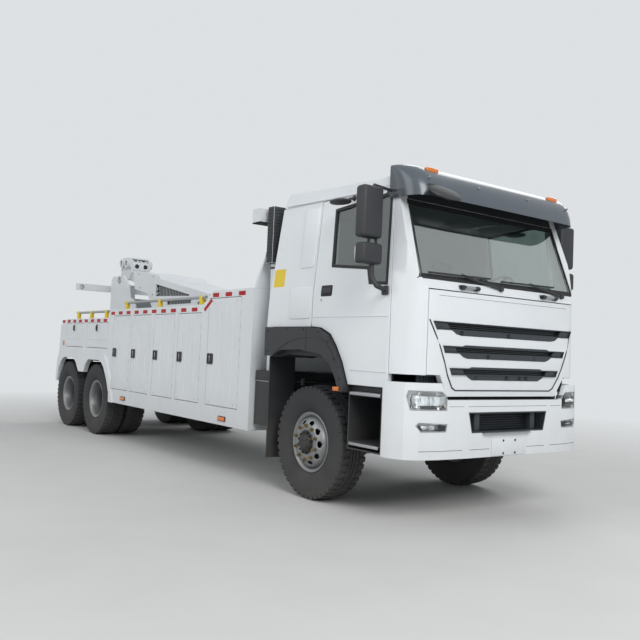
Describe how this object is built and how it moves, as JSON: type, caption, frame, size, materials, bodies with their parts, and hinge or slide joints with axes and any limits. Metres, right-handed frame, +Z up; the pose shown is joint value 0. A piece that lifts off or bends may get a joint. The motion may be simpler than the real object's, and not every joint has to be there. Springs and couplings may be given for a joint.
{
  "type": "recovery truck",
  "caption": "Heavy 6x4 recovery truck with a tilting forward-control cab, locker body, lifting boom with sheave head and a folding underlift.",
  "frame": {"origin": "on the ground under the middle of the truck's length and width", "axes": "+X forward, +Y to the truck's left, +Z up"},
  "size_m": [9.55, 3, 3.15],
  "materials": {
    "white_paint": "gloss",
    "black_steel": "satin",
    "grey_steel": "satin",
    "black_plastic": "matte",
    "grey_trim": "matte",
    "clear_glass": "gloss",
    "lamp_lens": "gloss",
    "bare_aluminium": "satin",
    "polished_rod": "polished",
    "tyre_rubber": "matte"
  },
  "bodies": {
    "chassis": {"ladder_frame": "black_steel", "axles_and_springs": "black_steel", "engine_and_gearbox": "black_steel", "tanks_and_batteries": "bare_aluminium", "front_bumper": "white_paint", "lamps": "lamp_lens", "steps_and_mudflaps": "black_plastic", "locker_shells": "bare_aluminium", "body_sides": "white_paint", "headboard_and_rails": "white_paint", "rear_column": "white_paint"},
    "cab": {"cab_floor": "grey_trim", "cab_walls": "white_paint", "cab_roof": "white_paint", "cab_front": "white_paint", "windscreen": "clear_glass", "sun_visor": "black_plastic", "cab_interior": "grey_trim", "steering_wheel": "black_plastic", "cab_mudguards": "black_plastic"},
    "front_panel": {"front_panel": "white_paint"},
    "track_rod": {"track_rod": "black_steel"},
    "boom_housing": {"boom_housing": "white_paint"},
    "inner_boom": {"inner_boom": "white_paint"},
    "lift_barrels": {"lift_barrels": "white_paint"},
    "lift_rods": {"lift_rods": "polished_rod"},
    "underlift_carriage": {"underlift_carriage": "white_paint"},
    "underlift_arm": {"underlift_arm": "white_paint"},
    "underlift_extension": {"underlift_extension": "white_paint"},
    "crossbar": {"crossbar": "white_paint"},
    "knuckle_left": {"knuckle_left": "black_steel"},
    "front_wheel_left": {"front_tyre_left": "tyre_rubber", "front_rim_left": "grey_steel"},
    "rear_wheel_1_left": {"rear_wheel_1_left": "tyre_rubber"},
    "rear_wheel_2_left": {"rear_wheel_2_left": "tyre_rubber"},
    "cab_door_left": {"cab_door_left": "white_paint", "door_glass_left": "clear_glass", "door_mirrors_left": "black_plastic"},
    "locker_door_1_left": {"locker_door_1_left": "white_paint"},
    "locker_door_2_left": {"locker_door_2_left": "white_paint"},
    "locker_door_3_left": {"locker_door_3_left": "white_paint"},
    "locker_door_4_left": {"locker_door_4_left": "white_paint"},
    "locker_door_5_left": {"locker_door_5_left": "white_paint"},
    "rear_flap_1_left": {"rear_flap_1_left": "white_paint"},
    "rear_flap_2_left": {"rear_flap_2_left": "white_paint"},
    "knuckle_right": {"knuckle_right": "black_steel"},
    "front_wheel_right": {"front_tyre_right": "tyre_rubber", "front_rim_right": "grey_steel"},
    "rear_wheel_1_right": {"rear_wheel_1_right": "tyre_rubber"},
    "rear_wheel_2_right": {"rear_wheel_2_right": "tyre_rubber"},
    "cab_door_right": {"cab_door_right": "white_paint", "door_glass_right": "clear_glass", "door_mirrors_right": "black_plastic"},
    "locker_door_1_right": {"locker_door_1_right": "white_paint"},
    "locker_door_2_right": {"locker_door_2_right": "white_paint"},
    "locker_door_3_right": {"locker_door_3_right": "white_paint"},
    "locker_door_4_right": {"locker_door_4_right": "white_paint"},
    "locker_door_5_right": {"locker_door_5_right": "white_paint"},
    "rear_flap_1_right": {"rear_flap_1_right": "white_paint"},
    "rear_flap_2_right": {"rear_flap_2_right": "white_paint"}
  },
  "joints": [
    {"name": "steer_left", "type": "hinge", "parent": "chassis", "child": "knuckle_left", "pos_m": [3.235, 0.84, 0.5625], "axis": [0, 0, 1], "range_deg": [-38, 38]},
    {"name": "spin_front_left", "type": "hinge", "parent": "knuckle_left", "child": "front_wheel_left", "pos_m": [3.235, 1.015, 0.5625], "axis": [0, 1, 0], "continuous": true},
    {"name": "spin_rear_1_left", "type": "hinge", "parent": "chassis", "child": "rear_wheel_1_left", "pos_m": [-2.59, 0.915, 0.5625], "axis": [0, 1, 0], "continuous": true},
    {"name": "spin_rear_2_left", "type": "hinge", "parent": "chassis", "child": "rear_wheel_2_left", "pos_m": [-3.94, 0.915, 0.5625], "axis": [0, 1, 0], "continuous": true},
    {"name": "open_cab_door_left", "type": "hinge", "parent": "cab", "child": "cab_door_left", "pos_m": [4.4, 1.19, 2], "axis": [0, 0, -1], "range_deg": [0, 70]},
    {"name": "open_locker_door_1_left", "type": "hinge", "parent": "chassis", "child": "locker_door_1_left", "pos_m": [1.89, 1.215, 1.33], "axis": [0, 0, -1], "range_deg": [0, 90]},
    {"name": "open_locker_door_2_left", "type": "hinge", "parent": "chassis", "child": "locker_door_2_left", "pos_m": [0.93, 1.215, 1.33], "axis": [0, 0, -1], "range_deg": [0, 90]},
    {"name": "open_locker_door_3_left", "type": "hinge", "parent": "chassis", "child": "locker_door_3_left", "pos_m": [0.175, 1.215, 1.33], "axis": [0, 0, -1], "range_deg": [0, 90]},
    {"name": "open_locker_door_4_left", "type": "hinge", "parent": "chassis", "child": "locker_door_4_left", "pos_m": [-0.595, 1.215, 1.33], "axis": [0, 0, -1], "range_deg": [0, 90]},
    {"name": "open_locker_door_5_left", "type": "hinge", "parent": "chassis", "child": "locker_door_5_left", "pos_m": [-1.325, 1.215, 1.33], "axis": [0, 0, -1], "range_deg": [0, 90]},
    {"name": "open_rear_flap_1_left", "type": "hinge", "parent": "chassis", "child": "rear_flap_1_left", "pos_m": [-2.68, 1.215, 1.385], "axis": [-1, 0, 0], "range_deg": [0, 90]},
    {"name": "open_rear_flap_2_left", "type": "hinge", "parent": "chassis", "child": "rear_flap_2_left", "pos_m": [-3.7925, 1.215, 1.385], "axis": [-1, 0, 0], "range_deg": [0, 90]},
    {"name": "steer_right", "type": "hinge", "parent": "chassis", "child": "knuckle_right", "pos_m": [3.235, -0.84, 0.5625], "axis": [0, 0, 1], "range_deg": [-38, 38]},
    {"name": "spin_front_right", "type": "hinge", "parent": "knuckle_right", "child": "front_wheel_right", "pos_m": [3.235, -1.015, 0.5625], "axis": [0, 1, 0], "continuous": true},
    {"name": "spin_rear_1_right", "type": "hinge", "parent": "chassis", "child": "rear_wheel_1_right", "pos_m": [-2.59, -0.915, 0.5625], "axis": [0, 1, 0], "continuous": true},
    {"name": "spin_rear_2_right", "type": "hinge", "parent": "chassis", "child": "rear_wheel_2_right", "pos_m": [-3.94, -0.915, 0.5625], "axis": [0, 1, 0], "continuous": true},
    {"name": "open_cab_door_right", "type": "hinge", "parent": "cab", "child": "cab_door_right", "pos_m": [4.4, -1.19, 2], "axis": [0, 0, 1], "range_deg": [0, 70]},
    {"name": "open_locker_door_1_right", "type": "hinge", "parent": "chassis", "child": "locker_door_1_right", "pos_m": [1.89, -1.215, 1.33], "axis": [0, 0, 1], "range_deg": [0, 90]},
    {"name": "open_locker_door_2_right", "type": "hinge", "parent": "chassis", "child": "locker_door_2_right", "pos_m": [0.93, -1.215, 1.33], "axis": [0, 0, 1], "range_deg": [0, 90]},
    {"name": "open_locker_door_3_right", "type": "hinge", "parent": "chassis", "child": "locker_door_3_right", "pos_m": [0.175, -1.215, 1.33], "axis": [0, 0, 1], "range_deg": [0, 90]},
    {"name": "open_locker_door_4_right", "type": "hinge", "parent": "chassis", "child": "locker_door_4_right", "pos_m": [-0.595, -1.215, 1.33], "axis": [0, 0, 1], "range_deg": [0, 90]},
    {"name": "open_locker_door_5_right", "type": "hinge", "parent": "chassis", "child": "locker_door_5_right", "pos_m": [-1.325, -1.215, 1.33], "axis": [0, 0, 1], "range_deg": [0, 90]},
    {"name": "open_rear_flap_1_right", "type": "hinge", "parent": "chassis", "child": "rear_flap_1_right", "pos_m": [-2.68, -1.215, 1.385], "axis": [1, 0, 0], "range_deg": [0, 90]},
    {"name": "open_rear_flap_2_right", "type": "hinge", "parent": "chassis", "child": "rear_flap_2_right", "pos_m": [-3.7925, -1.215, 1.385], "axis": [1, 0, 0], "range_deg": [0, 90]},
    {"name": "track_rod_pivot", "type": "hinge", "parent": "knuckle_left", "child": "track_rod", "pos_m": [2.995, 0.84, 0.42], "axis": [0, 0, 1], "range_deg": [-38, 38]},
    {"name": "cab_tilt", "type": "hinge", "parent": "chassis", "child": "cab", "pos_m": [4.66, 0, 1.19], "axis": [0, 1, 0], "range_deg": [0, 50]},
    {"name": "open_front_panel", "type": "hinge", "parent": "cab", "child": "front_panel", "pos_m": [4.705, 0, 2.03], "axis": [0, -1, 0], "range_deg": [0, 70]},
    {"name": "boom_lift", "type": "hinge", "parent": "chassis", "child": "boom_housing", "pos_m": [-0.515, 0, 2.06], "axis": [0, 1, 0], "range_deg": [0, 50]},
    {"name": "boom_extend", "type": "slide", "parent": "boom_housing", "child": "inner_boom", "axis": [-0.9842, 0, 0.1771], "range_m": [0, 1.8]},
    {"name": "lift_barrels_tilt", "type": "hinge", "parent": "chassis", "child": "lift_barrels", "pos_m": [-2.845, 0, 1.42], "axis": [0, -1, 0], "range_deg": [0, 24.54]},
    {"name": "lift_rods_slide", "type": "slide", "parent": "lift_barrels", "child": "lift_rods", "axis": [0.9318, 0, 0.3628], "range_m": [0, 0.8029]},
    {"name": "underlift_lower", "type": "slide", "parent": "chassis", "child": "underlift_carriage", "axis": [0, 0, -1], "range_m": [0, 0.45]},
    {"name": "underlift_fold", "type": "hinge", "parent": "underlift_carriage", "child": "underlift_arm", "pos_m": [-4.485, 0, 0.84], "axis": [0, -1, 0], "range_deg": [0, 90]},
    {"name": "underlift_extend", "type": "slide", "parent": "underlift_arm", "child": "underlift_extension", "axis": [0, 0, 1], "range_m": [0, 0.9]},
    {"name": "crossbar_swivel", "type": "hinge", "parent": "underlift_extension", "child": "crossbar", "pos_m": [-4.695, 0, 2.5], "axis": [1, 0, 0], "range_deg": [-30, 30]}
  ],
  "couplings": [
    {"joint": "steer_right", "follows": "steer_left", "ratio": 1},
    {"joint": "track_rod_pivot", "follows": "steer_left", "ratio": -1},
    {"joint": "lift_barrels_tilt", "follows": "boom_lift", "ratio": 0.4847},
    {"joint": "lift_rods_slide", "follows": "boom_lift", "m_per_rad": 0.90859}
  ]
}
